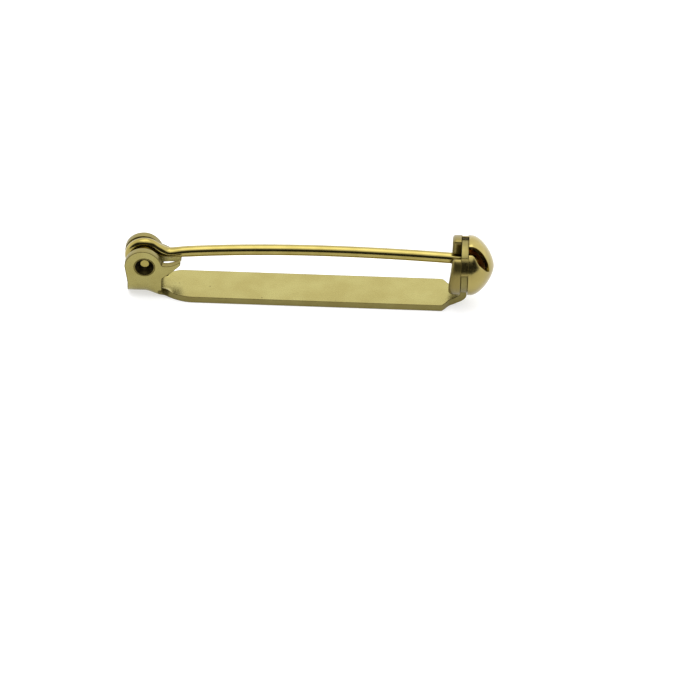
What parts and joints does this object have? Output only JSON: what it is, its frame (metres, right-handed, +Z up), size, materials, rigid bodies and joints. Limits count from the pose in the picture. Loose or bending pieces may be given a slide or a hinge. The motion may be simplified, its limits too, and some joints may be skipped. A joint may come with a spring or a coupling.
{
  "type": "locking bar pin",
  "caption": "Brass locking bar pin for a brooch or badge back: flat bar, hinged pin stem with a ground point, and a rotating safety catch.",
  "frame": {"origin": "the middle of the bar's flat underside, which is fixed to the brooch: halfway from the hinge axis to the hook plate", "axes": "+X along the bar from the hinge to the catch, +Y across it towards the closed side of the catch, +Z up from the underside towards the pin stem"},
  "size_m": [0.0351, 0.0058, 0.0068],
  "materials": {
    "satin_brass": "rolled brass sheet, stamped and bent, satin with fine brushed lines",
    "polished_brass": "pressed brass, tumbled to a gloss",
    "drawn_brass_wire": "hard drawn brass wire, glossy, with a ground point"
  },
  "bodies": {
    "base": {"base_bar": "satin_brass", "hinge_rivet": "polished_brass"},
    "stem": {"pin_stem": "drawn_brass_wire"},
    "catch": {"catch_rotor": "polished_brass"}
  },
  "joints": [
    {"name": "stem_lift", "type": "hinge", "parent": "base", "child": "stem", "pos_m": [-0.01514, 0, 0.00352], "axis": [0, -1, 0], "range_deg": [0, 110]},
    {"name": "catch_turn", "type": "hinge", "parent": "base", "child": "catch", "pos_m": [0.01514, 0, 0.00393], "axis": [-1, 0, 0], "range_deg": [-36, 54]}
  ]
}
